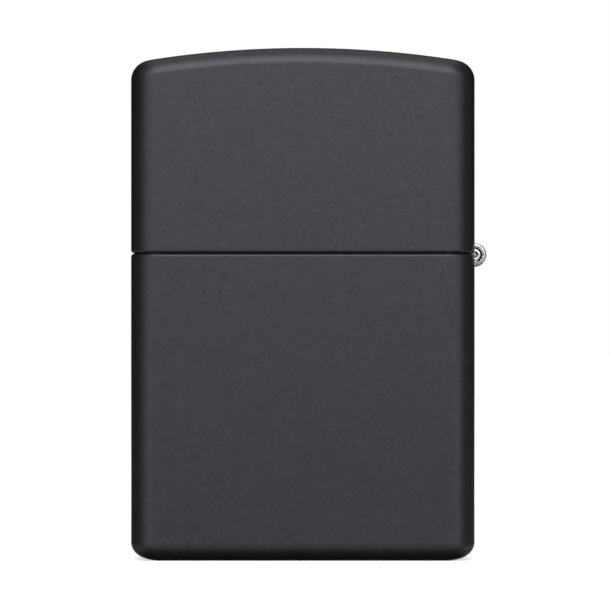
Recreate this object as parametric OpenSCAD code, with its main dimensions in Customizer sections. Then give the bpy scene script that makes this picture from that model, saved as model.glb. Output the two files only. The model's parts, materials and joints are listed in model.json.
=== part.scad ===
// Flip-top windproof petrol lighter: a two-part pressed case, joined by a knuckle hinge, around a
// lift-out insert that holds the wick, the fuel packing, the flint with its spring and wheel, and
// the sprung cam that snaps the lid.
// Frame: +Z is up, the base rests on z = 0, +X points to the hinge and -Y is the broad front face.

/* [Outer case] */
// Width of the case across its broad face, without the hinge barrel
case_w = 38.2; // [38:0.1:38.6]
// Depth of the case from front to back
case_d = 13; // [12.9:0.1:13.6]
// Height of the closed case at its middle
case_h = 56.9; // [56.7:0.1:58]
// Thickness of the case's sheet metal
case_t = 0.7; // [0.6:0.05:0.75]
// Height of the seam between the lower case and the lid
seam_z = 34.1; // [34:0.05:34.6]
// Open gap at the seam with the lid shut
seam_gap = 0.04; // [0.04:0.02:0.2]
// Radius of the case's upright corners, seen from above
corner_r = 3.1; // [2.8:0.1:3.4]
// Radius of the rounded edge around the base
base_edge_r = 2; // [1.7:0.1:2.3]
// Radius of the rounded edge around the top of the lid
top_edge_r = 1.8; // [1.6:0.1:2.4]
// Radius of the low arch that the lid's top follows from side to side
crown_r = 110; // [100:5:300]
// Depth of the shallow panel pressed into the base
base_panel = 0.35; // [0.1:0.05:0.4]

/* [Hinge] */
// Outer radius of the rolled knuckles
knuckle_r = 1.32; // [1.2:0.02:1.34]
// Radius of the hinge pin
pin_r = 0.68; // [0.5:0.02:0.7]
// Running clearance between the pin and the knuckles that turn on it
pin_play = 0.08; // [0.04:0.01:0.1]
// Length of the whole row of knuckles
hinge_len = 6.8; // [6:0.2:9]
// Depth of the pin's axis below the seam
hinge_drop = 0.15; // [0:0.05:0.3]
// Number of knuckles, the end ones on the lower leaf
knuckles = 5; // [3:2:5]
// Gap between neighbouring knuckles
knuckle_gap = 0.08; // [0.05:0.01:0.15]
// Reach of each hinge leaf away from the seam
leaf_h = 8.6; // [7:0.2:9]

/* [Insert] */
// Thickness of the insert's sheet metal
tin_t = 0.5; // [0.4:0.05:0.5]
// Height of the insert's lower, open edge
insert_z0 = 1.9; // [1.8:0.1:2.2]
// Height of the insert's shoulder
insert_z1 = 38.6; // [38.4:0.1:38.8]
// Half of the insert's depth
insert_hd = 5.55; // [5.4:0.05:5.6]
// Radius of the insert's upright corners
insert_r = 2.3; // [2:0.1:2.4]
// Radius of the insert's rounded shoulder
shoulder_r = 0.9; // [0.6:0.1:1]

/* [Chimney] */
// Height of the chimney's top edge
chimney_z1 = 53.4; // [52:0.2:53.6]
// Left end of the chimney
chimney_x0 = -7; // [-7.2:0.1:-6.8]
// Right end of the chimney
chimney_x1 = 8.5; // [8:0.1:8.6]
// Half of the chimney's depth
chimney_hd = 4.6; // [4.4:0.05:4.6]
// Diameter of the air holes
air_hole_d = 2.3; // [1.6:0.1:2.6]

/* [Flint wheel] */
// Distance of the wheel's axis from the middle, to the left
wheel_x = -10.3; // [-10.4:0.1:-10.2]
// Height of the wheel's axis
wheel_z = 43.3; // [43.2:0.1:43.4]
// Outer diameter over the teeth
wheel_d = 8; // [7.6:0.1:8]
// Width of the wheel
wheel_w = 4.2; // [3.6:0.1:4.2]
// Number of teeth
teeth = 44; // [30:1:60]

/* [Flint] */
// Diameter of the flint
flint_d = 2.4; // [2.2:0.1:2.4]
// Length of the flint
flint_l = 4.95; // [2:0.05:5]
// Wire diameter of the flint spring
spring_wire = 0.35; // [0.25:0.05:0.4]
// Outer diameter of the flint spring
spring_d = 2.2; // [2:0.1:2.3]
// Number of turns of the flint spring
spring_turns = 15; // [8:1:20]

/* [Cam] */
// Distance of the cam's pivot from the middle, to the right
cam_x = 10.6; // [10.5:0.05:10.7]
// Height of the cam's pivot
cam_z = 40.4; // [40.3:0.05:40.5]
// Width of the cam
cam_w = 2.6; // [2:0.1:2.6]

/* [Wick and packing] */
// Radius of the wick
wick_r = 1.5; // [1.2:0.1:1.5]
// Distance of the wick's upright part from the middle
wick_x = 0.5; // [0:0.1:1]
// Height of the wick's tip inside the chimney
wick_z1 = 48.5; // [46:0.5:49]
// Radius of the wick's bends
wick_bend = 2; // [1.8:0.1:2.2]
// Height of the highest wick layer between the packing pieces
layer_z = 31.2; // [31:0.1:31.4]
// Height of one packing piece
layer_h = 6.2; // [6:0.1:6.2]

/* [Hidden] */
$fn = 64;
eps = 0.01;

// Outer case
hw = case_w / 2;
hd = case_d / 2;
rim_lo = seam_z - seam_gap / 2;
rim_hi = seam_z + seam_gap / 2;
floor_z = base_panel + case_t;
in_hw = hw - case_t;
in_hd = hd - case_t;
base_land = 0.8;

// Hinge: the pin's axis lies in the plane of the case's right side, just below the seam
hinge_z = seam_z - hinge_drop;
leaf_x0 = hw - knuckle_r;
leaf_t = in_hw - leaf_x0;
knuckle_pitch = hinge_len / knuckles;
leaf_w = 2 * (in_hd - corner_r + case_t);
notch_r = knuckle_r + 0.13;
notch_w = hinge_len + 0.2;
lip_w = 3.2;
lip_t = 0.5;
lip_bend_r = 0.9;
lip_z = seam_z + leaf_h - lip_t / 2;
lip_path = concat([[leaf_x0 + leaf_t / 2, lip_z]],
                  arc([leaf_x0 - 0.2, lip_z - lip_bend_r], lip_bend_r, 90, 150, 4),
                  [[leaf_x0 - 1.5, lip_z - 1.75]]);

// Insert: its left side stands further in than its right, clear of the swinging lid's edge
insert_x0 = -18;
insert_x1 = leaf_x0 - 0.18;
insert_cx = (insert_x0 + insert_x1) / 2;
insert_hw = (insert_x1 - insert_x0) / 2;
deck_z1 = insert_z1 - tin_t;
deck_t = 0.5;
deck_z0 = deck_z1 - deck_t;
window_x0 = -14.5;
window_x1 = 12.6;
window_hd = chimney_hd + 0.1;
cam_slot_x0 = 11.5;
cam_slot_z0 = 36.2;
cam_slot_w = cam_w + 0.7;

// Chimney and the ears bent from it
chimney_r0 = 1.2;
chimney_r1 = 3.2;
spark_gate_z = 48.3;
ear_in = wheel_w / 2 + 0.35;
ear_lobe = 2.6;
ear_x1 = chimney_x0 - 1.3;
cam_ear_in = cam_w / 2 + 0.15;
cam_ear_lobe = 1.9;

// Shafts
wheel_shaft_r = 0.8;
cam_shaft_r = 0.7;
shaft_play = 0.05;
rivet_head_t = 0.4;

// Flint, spring and screw, all on one upright axis below the wheel
tube_r = 1.8;
tube_bore_r = 1.3;
thread_r = 1.5;
screw_head_z0 = 2.7;
screw_head_z1 = 4;
screw_head_r = 2.6;
shank_z1 = 9;
stub_z1 = 10.6;
stub_r = 0.6;
flint_z1 = wheel_z - wheel_d / 2 - 0.05;
flint_z0 = flint_z1 - flint_l;
tip_h = 1.4;
tip_z0 = flint_z0 - tip_h;

// Cam outline: the hub, the hump that rides on the lid's lip and the nose, as circles [x, z, r]
cam_hub = [cam_x, cam_z, 1.5];
cam_hump = [cam_x + 4.3, cam_z - 0.9, 1.1];
cam_nose = [cam_x + 5.9, cam_z - 1.8, 0.75];

// Cam spring: a strip up the inside of the insert's right wall that curls under the cam's hump
strip_w = 2.4;
strip_t = 0.3;
strip_z0 = 22.5;
strip_x = insert_x1 - tin_t - strip_t / 2;
strip_lean = 35;
knee_r = 1.5;
curl_r = 0.5;
curl_sweep = 110;
cam_faces = tangent_faces(cam_hub, cam_nose);
curl_reach = cam_hub[2] + curl_r + strip_t / 2 + 0.02;
curl_x = cam_x + 4;
curl_z = cam_z + (curl_reach - 4 * cos(cam_faces)) / sin(cam_faces);
knee_x = strip_x - knee_r * (1 - cos(strip_lean));
knee_z = curl_z + curl_r * sin(strip_lean)
    - (knee_x - curl_x - curl_r * cos(strip_lean)) / tan(strip_lean);
strip_path = concat([[strip_x, strip_z0]],
                    arc([strip_x - knee_r, knee_z - knee_r * sin(strip_lean)], knee_r, 0, strip_lean, 5),
                    arc([curl_x, curl_z], curl_r, strip_lean, strip_lean + curl_sweep, 8));
spring_rivet_z = 24.3;

// Wick: straight down from its tip, then to and fro between the packing pieces
wick_left = -6;
wick_right = 13;
wick_path = [[wick_x, wick_z1], [wick_x, layer_z],
             [wick_right, layer_z], [wick_right, layer_z - layer_h],
             [wick_left, layer_z - layer_h], [wick_left, layer_z - 2 * layer_h],
             [wick_right, layer_z - 2 * layer_h], [wick_right, layer_z - 3 * layer_h],
             [wick_left, layer_z - 3 * layer_h]];
channel_r = wick_r + 0.12;
packing_x0 = insert_x0 + tin_t + 0.1;
packing_x1 = insert_x1 - tin_t - 0.8;
packing_hd = insert_hd - tin_t - 0.1;
packing_top = deck_z0 - 0.2;
spring_way_x = 13.3;
spring_way_w = strip_w + 1.2;
felt_z0 = 3.2;
felt_z1 = 6.2;

// Colours
coat = "#26262a";
nickel = "#c9c8c6";
steel = "#b9bbbd";
spring_steel = "#8f9296";
brass = "#c8a257";
cotton = "#efe9dc";
felt = "#d8d2c4";
ferro = "#57565a";

// ---- Shared shapes ----

// Upright wall section of width r and height h, whose lower outer corner is rounded to radius edge
module wall_section(r, edge, h) {
    polygon([[0, 0], [r - edge, 0], [r - edge, edge], [r, edge], [r, h], [0, h]]);
    intersection() {
        translate([r - edge, edge]) circle(edge);
        translate([r - edge, 0]) square(edge);
    }
}

// Solid rounded block of half sizes a and b, upright corners r and a lower edge rounded to edge
module can(a, b, r, edge, h) {
    translate([r - a, r - b, 0]) cube([2 * (a - r), 2 * (b - r), h]);
    for (side = [0, 1]) mirror([side, 0, 0]) {
        translate([a - r, b - r, 0]) rotate([90, 0, 0])
            linear_extrude(2 * (b - r)) wall_section(r, edge, h);
        for (front = [0, 1]) mirror([0, front, 0])
            translate([a - r, b - r, 0]) rotate_extrude(angle = 90) wall_section(r, edge, h);
    }
    for (front = [0, 1]) mirror([0, front, 0])
        translate([r - a, b - r, 0]) rotate([90, 0, 90])
            linear_extrude(2 * (a - r)) wall_section(r, edge, h);
}

// Upright prism on a rounded rectangle of half sizes a and b
module slab(a, b, r, h) {
    linear_extrude(h) {
        square([2 * a, 2 * (b - r)], center = true);
        square([2 * (a - r), 2 * b], center = true);
        for (x = [r - a, a - r], y = [r - b, b - r]) translate([x, y]) circle(r);
    }
}

// Plate lying in an X-Z plane between y0 and y1, drawn from a flat outline
module plate_y(y0, y1) {
    translate([0, y1, 0]) rotate([90, 0, 0]) linear_extrude(y1 - y0) children();
}

// Round bar along Y between y0 and y1
module bar_y(x, z, r, y0, y1) {
    translate([x, y1, z]) rotate([90, 0, 0]) cylinder(r = r, h = y1 - y0);
}

// Direction in which the outer tangent from circle p to circle q faces, on its right-hand side
function tangent_faces(p, q) =
    atan2(q[1] - p[1], q[0] - p[0]) - acos((p[2] - q[2]) / norm([q[0] - p[0], q[1] - p[1]]));

// Flat outline of a belt around circles [x, z, r], given anticlockwise
module belt(wheels) {
    n = len(wheels);
    steps = 10;
    polygon([for (i = [0 : n - 1], k = [0 : steps])
        let (c = wheels[i], from = tangent_faces(wheels[(i + n - 1) % n], c),
             to = tangent_faces(c, wheels[(i + 1) % n]),
             a = from + ((to - from + 720) % 360) * k / steps)
        [c[0] + c[2] * cos(a), c[1] + c[2] * sin(a)]]);
}

// Unit normal to the left of a path's stretch i
function left_of(path, i) =
    let (d = (path[i + 1] - path[i]) / norm(path[i + 1] - path[i])) [-d[1], d[0]];

// Mitred offset to the left of point i on a path, per unit of distance
function mitre(path, i) =
    let (last = len(path) - 1, a = left_of(path, max(i - 1, 0)), b = left_of(path, min(i, last - 1)))
    (a + b) / (1 + a * b);

// Flat outline of a strip of thickness t along a path
module strip(path, t) {
    last = len(path) - 1;
    polygon(concat([for (i = [0 : last]) path[i] - mitre(path, i) * t / 2],
                   [for (i = [last : -1 : 0]) path[i] + mitre(path, i) * t / 2]));
}

// Points on an arc about centre c from angle a0 to angle a1
function arc(c, r, a0, a1, steps) =
    [for (i = [0 : steps]) let (a = a0 + (a1 - a0) * i / steps) c + r * [cos(a), sin(a)]];

// Domeless rivet along Y: a shaft and a head outside each of two ears
module rivet_y(x, z, shaft_r, head_r, reach) {
    bar_y(x, z, shaft_r, -reach, reach);
    bar_y(x, z, head_r, reach, reach + rivet_head_t);
    bar_y(x, z, head_r, -reach - rivet_head_t, -reach);
}

// ---- Lid shell: rings of points over a rounded rectangle, joined into one closed skin ----

arc_steps = 6;
edge_steps = 14;
roll_steps = 6;

// Half outline from the +X side over +Y to the -X side, inset from half sizes a, b and corner r
function half_ring(a, b, r) = concat(
    [for (i = [0 : arc_steps]) [a - r + r * cos(90 * i / arc_steps), b - r + r * sin(90 * i / arc_steps)]],
    [for (i = [1 : edge_steps - 1]) [(a - r) * (1 - 2 * i / edge_steps), b]],
    [for (i = [0 : arc_steps])
        [r - a - r * sin(90 * i / arc_steps), b - r + r * cos(90 * i / arc_steps)]]);

// Whole outline, where point k and point (count - 1 - k) share the same x
function ring(a, b, r) =
    let (half = half_ring(a, b, r), last = len(half) - 1)
    concat(half, [for (i = [0 : last]) [half[last - i][0], -half[last - i][1]]]);

// Height of an arch of radius r with its crest at height top
function arch(x, top, r) = top - r + sqrt(r * r - x * x);

// Ring of the shell's rolled top edge at angle t, for a skin lying depth t_in below the outside
function rolled(t, t_in) =
    let (roll = top_edge_r - t_in, inset = t_in + roll * (1 - cos(t)))
    [for (p = ring(hw - inset, hd - inset, corner_r - inset))
        [p[0], p[1], arch(p[0], case_h - t_in, crown_r - t_in) - roll * (1 - sin(t))]];

// Ring of the open rim, for a skin lying t_in inside the outside
function rim(t_in) = [for (p = ring(hw - t_in, hd - t_in, corner_r - t_in)) [p[0], p[1], rim_hi]];

module lid_shell() {
    angles = [for (i = [0 : roll_steps]) 90 * i / roll_steps];
    rings = concat([rim(0)], [for (t = angles) rolled(t, 0)],
                   [for (t = angles) rolled(90 - t, case_t)], [rim(case_t)]);
    n = len(rings[0]);
    levels = len(rings);
    crest = roll_steps + 1;
    skin = [for (i = [0 : levels - 1], k = [0 : n - 1]) if (i != crest)
        let (a = i * n, b = (i + 1) % levels * n, j = (k + 1) % n)
        each [[a + k, b + k, b + j], [a + k, b + j, a + j]]];
    top = crest * n;
    cap = [for (k = [0 : n / 2 - 2])
        each [[top + k, top + n - 1 - k, top + n - 2 - k], [top + k, top + n - 2 - k, top + k + 1]]];
    under = top + n;
    ceiling = [for (k = [0 : n / 2 - 2])
        each [[under + k, under + k + 1, under + n - 2 - k],
              [under + k, under + n - 2 - k, under + n - 1 - k]]];
    polyhedron([for (r = rings) each r], concat(skin, cap, ceiling));
}

// ---- Lower case and hinge ----

module case_bottom() color(coat) difference() {
    can(hw, hd, corner_r, base_edge_r, rim_lo);
    translate([0, 0, floor_z])
        can(in_hw, in_hd, corner_r - case_t, base_edge_r - case_t, case_h);
    translate([0, 0, -1])
        slab(hw - base_edge_r - base_land, hd - base_edge_r - base_land, 1.5, 1 + base_panel);
    translate([in_hw - 1, -notch_w / 2, hinge_z - notch_r]) cube([3, notch_w, notch_r + 1]);
}

// One rolled knuckle with a bore, number i of the row counted along +Y
module knuckle(i, bore_r) {
    y0 = -hinge_len / 2 + i * knuckle_pitch + knuckle_gap / 2;
    y1 = y0 + knuckle_pitch - knuckle_gap;
    difference() {
        bar_y(hw, hinge_z, knuckle_r, y0, y1);
        bar_y(hw, hinge_z, bore_r, y0 - 1, y1 + 1);
    }
}

// Tang that joins knuckle i to its leaf, which lies below the seam (side -1) or above it (side 1)
module tang(i, side) {
    y0 = -hinge_len / 2 + i * knuckle_pitch + knuckle_gap / 2;
    z0 = side < 0 ? hinge_z - notch_r : hinge_z;
    difference() {
        translate([leaf_x0, y0, z0]) cube([leaf_t, knuckle_pitch - knuckle_gap, notch_r]);
        bar_y(hw, hinge_z, knuckle_r - eps, y0 - 1, y0 + knuckle_pitch + 1);
    }
}

module hinge_leaf_lower() color(nickel) {
    middle = (knuckles - 1) / 2;
    for (i = [0 : 2 : knuckles - 1]) {
        knuckle(i, i == middle ? pin_r : pin_r + pin_play);
        tang(i, -1);
    }
    translate([leaf_x0, -leaf_w / 2, hinge_z - leaf_h]) cube([leaf_t, leaf_w, leaf_h - notch_r]);
}

module hinge_pin() color(nickel) difference() {
    bar_y(hw, hinge_z, pin_r, -hinge_len / 2 - 0.05, hinge_len / 2 + 0.05);
    for (end = [-1, 1])
        bar_y(hw, hinge_z, pin_r * 0.5, end * hinge_len / 2 - 0.15, end * hinge_len / 2 + 0.15);
}

module case_lid() color(coat) difference() {
    lid_shell();
    translate([in_hw - 1, -notch_w / 2, hinge_z - 1]) cube([3, notch_w, notch_r + 1]);
}

// The lid's leaf ends in a lip that the cam presses on to hold the lid shut or open
module hinge_leaf_upper() color(nickel) {
    for (i = [1 : 2 : knuckles - 2]) {
        knuckle(i, pin_r + pin_play);
        tang(i, 1);
    }
    translate([leaf_x0, -leaf_w / 2, hinge_z + notch_r])
        cube([leaf_t, leaf_w, leaf_h + hinge_drop - notch_r]);
    plate_y(-lip_w / 2, lip_w / 2) strip(lip_path, lip_t);
}

// ---- Insert ----

module insert_case() color(steel) difference() {
    translate([insert_cx, 0, insert_z1]) mirror([0, 0, 1])
        can(insert_hw, insert_hd, insert_r, shoulder_r, insert_z1 - insert_z0);
    translate([insert_cx, 0, insert_z0 - 1])
        slab(insert_hw - tin_t, insert_hd - tin_t, insert_r - tin_t, deck_z1 - insert_z0 + 1);
    translate([window_x0, -window_hd, deck_z1 - 1]) cube([window_x1 - window_x0, 2 * window_hd, 3]);
    translate([cam_slot_x0, -cam_slot_w / 2, cam_slot_z0]) cube([9, cam_slot_w, 9]);
    translate([insert_x1 - tin_t - 1, 0, spring_rivet_z]) rotate([0, 90, 0]) cylinder(r = 0.6, h = 3);
}

module deck_plate() color(steel) difference() {
    translate([insert_cx, 0, deck_z0])
        slab(insert_hw - tin_t, insert_hd - tin_t, insert_r - tin_t, deck_t);
    translate([wick_x, 0, deck_z0 - 1]) cylinder(r = channel_r, h = 3);
    translate([wheel_x, 0, deck_z0 - 1]) cylinder(r = tube_r, h = 3);
    translate([cam_slot_x0, -cam_slot_w / 2, deck_z0 - 1]) cube([9, cam_slot_w, 3]);
}

// Flat outline of the chimney, inset by d
module chimney_outline(d) {
    x0 = chimney_x0 + d;
    x1 = chimney_x1 - d;
    b = chimney_hd - d;
    r0 = chimney_r0 - d;
    r1 = chimney_r1 - d;
    translate([x0 + r0, -b]) square([x1 - r1 - x0 - r0, 2 * b]);
    translate([x0, r0 - b]) square([r0, 2 * (b - r0)]);
    translate([x1 - r1, r1 - b]) square([r1, 2 * (b - r1)]);
    for (s = [-1, 1]) {
        translate([x0 + r0, s * (b - r0)]) circle(r0);
        translate([x1 - r1, s * (b - r1)]) circle(r1);
    }
}

// Air holes on both sides, three rows of three, two and three
module air_holes() {
    for (row = [0 : 2], i = [0 : row == 1 ? 1 : 2])
        bar_y(-3.6 + 4.2 * i + (row == 1 ? 2.1 : 0), 42 + 4 * row, air_hole_d / 2, -9, 9);
}

// One of the pair of ears that carry the flint wheel, with the step that leads to it
module wheel_ear() {
    plate_y(ear_in, ear_in + tin_t) {
        translate([wheel_x, wheel_z]) circle(ear_lobe);
        translate([wheel_x - ear_lobe, deck_z1]) square([ear_x1 - wheel_x + ear_lobe, wheel_z - deck_z1]);
        translate([wheel_x, wheel_z]) square([ear_x1 - wheel_x, ear_lobe]);
    }
    step_x = chimney_x0 + chimney_r0;
    translate([0, 0, deck_z1]) linear_extrude(wheel_z + ear_lobe - deck_z1)
        polygon([[step_x, chimney_hd], [step_x, chimney_hd - tin_t], [ear_x1, ear_in],
                 [ear_x1, ear_in + tin_t]]);
}

// One of the pair of ears that carry the cam
module cam_ear() {
    plate_y(cam_ear_in, cam_ear_in + tin_t) {
        translate([cam_x, cam_z]) circle(cam_ear_lobe);
        translate([chimney_x1 - tin_t, deck_z1])
            square([cam_x - chimney_x1 + tin_t, cam_z + cam_ear_lobe - deck_z1]);
        translate([cam_x, deck_z1]) square([cam_ear_lobe, cam_z - deck_z1]);
    }
}

module chimney() color(steel) difference() {
    union() {
        difference() {
            translate([0, 0, deck_z1]) linear_extrude(chimney_z1 - deck_z1) difference() {
                chimney_outline(0);
                chimney_outline(tin_t);
            }
            translate([chimney_x0 - 1, -9, deck_z1 - 1])
                cube([1 + chimney_r0, 18, spark_gate_z - deck_z1 + 1]);
            air_holes();
        }
        for (s = [0, 1]) mirror([0, s, 0]) {
            wheel_ear();
            cam_ear();
        }
    }
    bar_y(wheel_x, wheel_z, wheel_shaft_r, -9, 9);
    bar_y(cam_x, cam_z, cam_shaft_r, -9, 9);
}

// ---- Striking parts ----

module flint_wheel() color(spring_steel) {
    root_r = wheel_d / 2 - 0.28;
    difference() {
        plate_y(-wheel_w / 2, wheel_w / 2) translate([wheel_x, wheel_z])
            polygon([for (i = [0 : teeth - 1], k = [0, 1])
                let (r = k == 0 ? wheel_d / 2 : root_r, a = 360 * (i + 0.35 * k) / teeth)
                [r * cos(a), r * sin(a)]]);
        bar_y(wheel_x, wheel_z, wheel_shaft_r + shaft_play, -9, 9);
    }
}

module wheel_rivet() color(nickel) rivet_y(wheel_x, wheel_z, wheel_shaft_r, 1.3, ear_in + tin_t);

module flint_tube() color(brass) difference() {
    translate([wheel_x, 0, screw_head_z1]) cylinder(r = tube_r, h = insert_z1 - screw_head_z1);
    translate([wheel_x, 0, screw_head_z1 - 1]) cylinder(r = tube_bore_r, h = insert_z1);
    translate([wheel_x, 0, screw_head_z1 - 1]) cylinder(r = thread_r, h = shank_z1 - screw_head_z1 + 1.3);
}

module flint() color(ferro) translate([wheel_x, 0, flint_z0]) cylinder(d = flint_d, h = flint_l);

module flint_spring_tip() color(brass) translate([wheel_x, 0, tip_z0]) {
    cylinder(r = 1.15, h = tip_h);
    translate([0, 0, -1]) cylinder(r = stub_r, h = 1);
}

// Helical spring, swept as a ring of sides points at each step along the coil
module flint_spring() color(spring_steel) {
    per_turn = 12;
    sides = 6;
    wire_r = spring_wire / 2;
    coil_r = spring_d / 2 - wire_r;
    z0 = shank_z1 + wire_r;
    rise = tip_z0 - wire_r - z0;
    steps = spring_turns * per_turn;
    points = [for (i = [0 : steps], k = [0 : sides - 1])
        let (turn = 360 * i / per_turn, around = 360 * k / sides, reach = coil_r + wire_r * cos(around))
        [wheel_x + reach * cos(turn), reach * sin(turn), z0 + rise * i / steps + wire_r * sin(around)]];
    skin = [for (i = [0 : steps - 1], k = [0 : sides - 1])
        let (a = i * sides, b = a + sides, j = (k + 1) % sides)
        each [[a + k, b + k, b + j], [a + k, b + j, a + j]]];
    ends = [[for (k = [0 : sides - 1]) k], [for (k = [0 : sides - 1]) steps * sides + sides - 1 - k]];
    polyhedron(points, concat(skin, ends));
}

module flint_screw() color(brass) translate([wheel_x, 0, 0]) difference() {
    union() {
        translate([0, 0, screw_head_z0]) cylinder(r = screw_head_r, h = screw_head_z1 - screw_head_z0);
        translate([0, 0, screw_head_z1]) cylinder(r = thread_r, h = shank_z1 - screw_head_z1);
        translate([0, 0, shank_z1]) cylinder(r = stub_r, h = stub_z1 - shank_z1);
    }
    translate([-screw_head_r - 1, -0.35, screw_head_z0 - 1]) cube([2 * screw_head_r + 2, 0.7, 1.6]);
}

// ---- Lid snap ----

module cam() color(spring_steel) difference() {
    plate_y(-cam_w / 2, cam_w / 2) belt([cam_hub, cam_nose, cam_hump]);
    bar_y(cam_x, cam_z, cam_shaft_r + shaft_play, -9, 9);
}

module cam_rivet() color(nickel) rivet_y(cam_x, cam_z, cam_shaft_r, 1.1, cam_ear_in + tin_t);

module cam_spring() color(spring_steel) difference() {
    plate_y(-strip_w / 2, strip_w / 2) strip(strip_path, strip_t);
    translate([strip_x - 1, 0, spring_rivet_z]) rotate([0, 90, 0]) cylinder(r = 0.6, h = 2);
}

module cam_spring_rivet() color(nickel) {
    in_x = insert_x1 - tin_t - strip_t;
    translate([in_x - 0.3, 0, spring_rivet_z]) rotate([0, 90, 0]) cylinder(r = 1, h = 0.3);
    translate([in_x, 0, spring_rivet_z]) rotate([0, 90, 0]) cylinder(r = 0.6, h = tin_t + strip_t);
    translate([insert_x1, 0, spring_rivet_z]) rotate([0, 90, 0]) cylinder(r = 1, h = 0.14);
}

// ---- Wick and packing ----

// Unit vector along stretch i of the wick's path
function heading(i) = (wick_path[i + 1] - wick_path[i]) / norm(wick_path[i + 1] - wick_path[i]);

// The wick's route as a round bar, with a quarter bend at each inner point
module wick() color(cotton) {
    last = len(wick_path) - 2;
    for (i = [0 : last]) {
        d = heading(i);
        p = wick_path[i] + d * (i == 0 ? 0 : wick_bend);
        q = wick_path[i + 1] - d * (i == last ? 0 : wick_bend);
        translate([p[0], 0, p[1]]) rotate([0, atan2(d[0], d[1]), 0]) cylinder(r = wick_r, h = norm(q - p));
    }
    for (i = [1 : last]) {
        came = heading(i - 1);
        goes = heading(i);
        centre = wick_path[i] + (goes - came) * wick_bend;
        turns_left = came[0] * goes[1] - came[1] * goes[0] > 0;
        start = turns_left ? -goes : came;
        translate([centre[0], 0, centre[1]]) rotate([90, 0, 0])
            rotate(atan2(start[1], start[0]))
                rotate_extrude(angle = 90) translate([wick_bend, 0]) circle(wick_r);
    }
}

// The ways that the packing leaves for the wick: troughs for its layers, holes between them
module wick_ways() {
    half = channel_r + 0.1;
    for (i = [0 : len(wick_path) - 2]) {
        p = wick_path[i];
        q = wick_path[i + 1];
        if (p[0] == q[0])
            translate([p[0], 0, min(p[1], q[1])]) cylinder(r = channel_r, h = abs(p[1] - q[1]));
        else
            translate([min(p[0], q[0]) - half, -half, p[1] - half])
                cube([abs(p[0] - q[0]) + 2 * half, 2 * half, 2 * half]);
    }
}

// One piece of the fuel packing between two heights, with ways for the wick and the flint tube
module packing(z0, z1) color(cotton) difference() {
    translate([(packing_x0 + packing_x1) / 2, 0, z0])
        slab((packing_x1 - packing_x0) / 2, packing_hd, 1.6, z1 - z0);
    wick_ways();
    translate([wheel_x, 0, 0]) cylinder(r = tube_r + 0.1, h = case_h);
    translate([spring_way_x, -spring_way_w / 2, knee_z - 1.5]) cube([9, spring_way_w, 9]);
}

module packing_1() packing(layer_z, packing_top);
module packing_2() packing(layer_z - layer_h, layer_z);
module packing_3() packing(layer_z - 2 * layer_h, layer_z - layer_h);
module packing_4() packing(layer_z - 3 * layer_h, layer_z - 2 * layer_h);
module packing_5() packing(felt_z1, layer_z - 3 * layer_h);

module felt_pad() color(felt) difference() {
    translate([insert_cx, 0, felt_z0]) slab(insert_hw - tin_t, insert_hd - tin_t, insert_r - tin_t,
                                            felt_z1 - felt_z0);
    translate([wheel_x, 0, 0]) cylinder(r = screw_head_r + 0.3, h = case_h);
}

case_bottom();
hinge_leaf_lower();
hinge_pin();
case_lid();
hinge_leaf_upper();
insert_case();
deck_plate();
chimney();
flint_wheel();
wheel_rivet();
cam();
cam_rivet();
cam_spring();
cam_spring_rivet();
flint_tube();
flint();
flint_spring_tip();
flint_spring();
flint_screw();
wick();
packing_1();
packing_2();
packing_3();
packing_4();
packing_5();
felt_pad();
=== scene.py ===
"""A matte black flip-top petrol lighter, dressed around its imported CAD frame."""
import json
import math

import bmesh
import bpy
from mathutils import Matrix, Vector, noise


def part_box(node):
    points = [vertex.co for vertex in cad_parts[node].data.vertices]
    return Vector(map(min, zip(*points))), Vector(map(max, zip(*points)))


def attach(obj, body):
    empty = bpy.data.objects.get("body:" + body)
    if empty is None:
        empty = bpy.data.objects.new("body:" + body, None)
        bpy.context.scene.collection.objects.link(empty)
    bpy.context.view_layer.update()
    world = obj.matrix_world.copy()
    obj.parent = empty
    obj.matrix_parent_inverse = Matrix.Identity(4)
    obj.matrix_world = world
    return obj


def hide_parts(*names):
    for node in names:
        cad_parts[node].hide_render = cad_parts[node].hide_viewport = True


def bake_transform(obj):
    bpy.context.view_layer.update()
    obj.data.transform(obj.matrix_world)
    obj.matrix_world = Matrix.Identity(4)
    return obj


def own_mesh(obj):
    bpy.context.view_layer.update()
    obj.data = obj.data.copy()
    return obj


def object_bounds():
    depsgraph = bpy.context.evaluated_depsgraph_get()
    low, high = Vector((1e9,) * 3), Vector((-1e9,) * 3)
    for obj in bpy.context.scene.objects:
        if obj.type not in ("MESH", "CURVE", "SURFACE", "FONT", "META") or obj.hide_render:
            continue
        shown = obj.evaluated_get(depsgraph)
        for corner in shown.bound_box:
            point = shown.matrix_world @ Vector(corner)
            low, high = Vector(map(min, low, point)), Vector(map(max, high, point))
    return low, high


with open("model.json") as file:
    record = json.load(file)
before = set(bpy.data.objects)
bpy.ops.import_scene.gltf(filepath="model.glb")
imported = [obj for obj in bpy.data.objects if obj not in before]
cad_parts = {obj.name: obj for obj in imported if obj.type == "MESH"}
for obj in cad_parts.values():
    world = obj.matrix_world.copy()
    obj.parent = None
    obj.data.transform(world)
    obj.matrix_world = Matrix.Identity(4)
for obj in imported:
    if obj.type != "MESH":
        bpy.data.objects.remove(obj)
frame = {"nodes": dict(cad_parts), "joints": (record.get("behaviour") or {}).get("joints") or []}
cad_low, cad_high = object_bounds()

# Shapes are worked out in millimetres and turned into metres when a mesh is made.
MM = 0.001
joints = {j["name"]: j for j in frame["joints"]}


def box_mm(node):
    """Lowest and highest corners of a CAD node, in millimetres."""
    low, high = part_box(node)
    return low / MM, high / MM


_, case_high = box_mm("case_bottom")
lid_low, lid_high = box_mm("case_lid")
HALF_W, HALF_D = case_high.x, case_high.y
RIM_LOW, RIM_HIGH = case_high.z, lid_low.z
SEAM = (RIM_LOW + RIM_HIGH) / 2

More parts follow.
